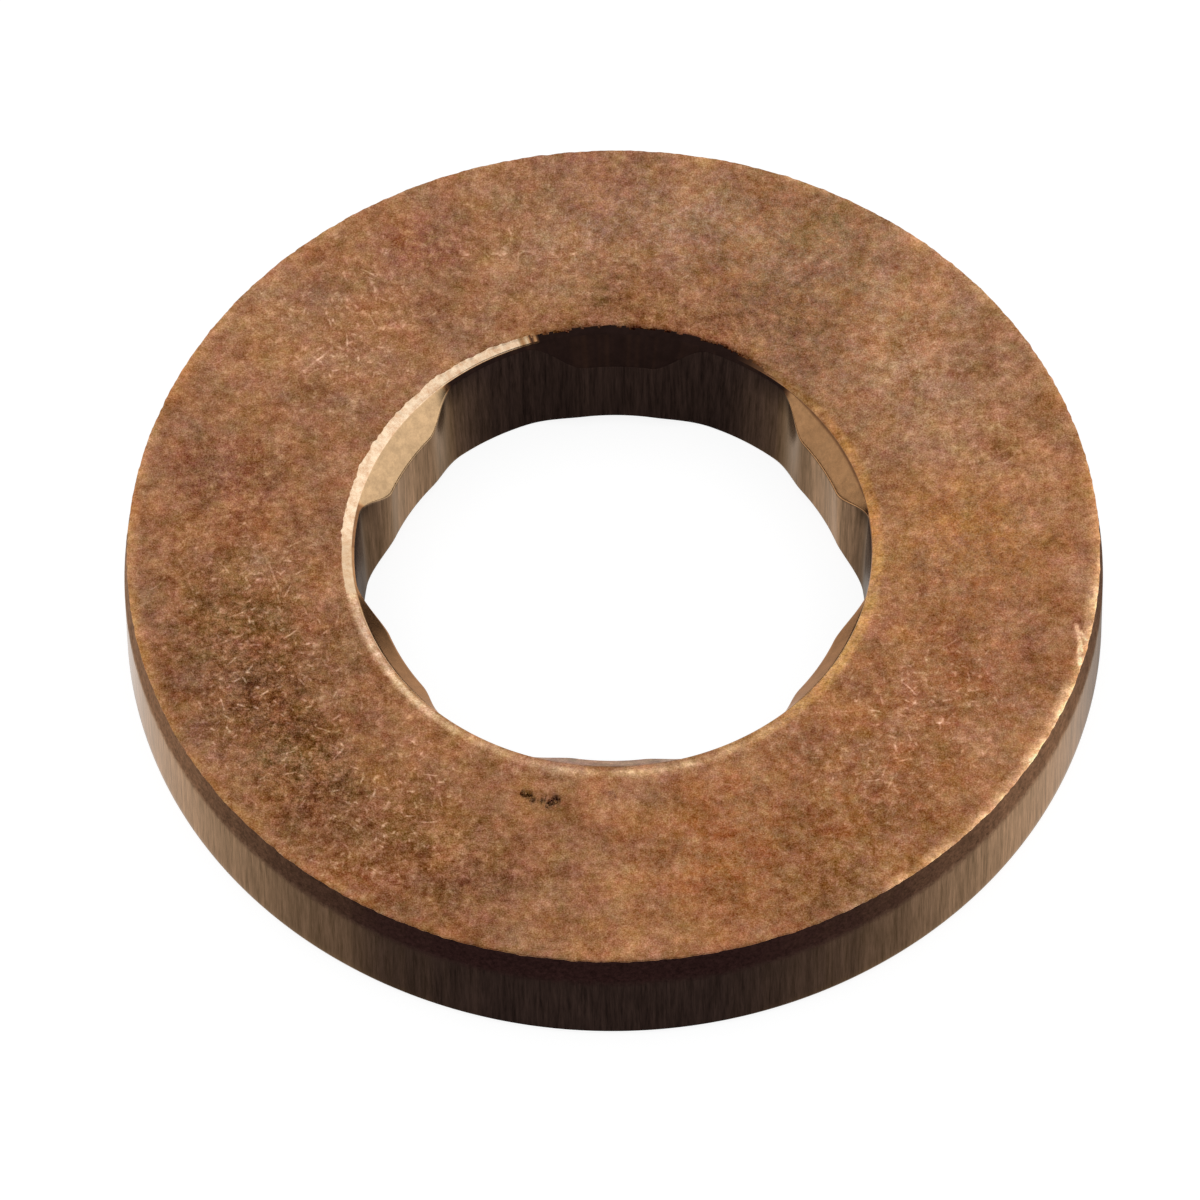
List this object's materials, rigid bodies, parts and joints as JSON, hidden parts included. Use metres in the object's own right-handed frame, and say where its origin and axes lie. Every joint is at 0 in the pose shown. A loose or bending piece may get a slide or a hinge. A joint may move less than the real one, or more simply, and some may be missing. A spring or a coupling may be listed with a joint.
{
  "type": "sealing ring",
  "caption": "Flat copper sealing ring, punched, with inward lands in its bore that grip a nozzle shank and hold the ring on it until it is clamped.",
  "frame": {"origin": "centre of the lower sealing face, on the bore's axis", "axes": "+Z along the bore's axis, from the lower face with the rolled rim to the upper face with the recess and lead-in; a gap between two lands lies on +X"},
  "size_m": [0.015, 0.015, 0.002],
  "materials": {
    "copper": "satin bare copper, tarnished brown, with fine scratches and bright edges"
  },
  "bodies": {
    "root": {"sealing_ring": "copper"}
  },
  "joints": []
}
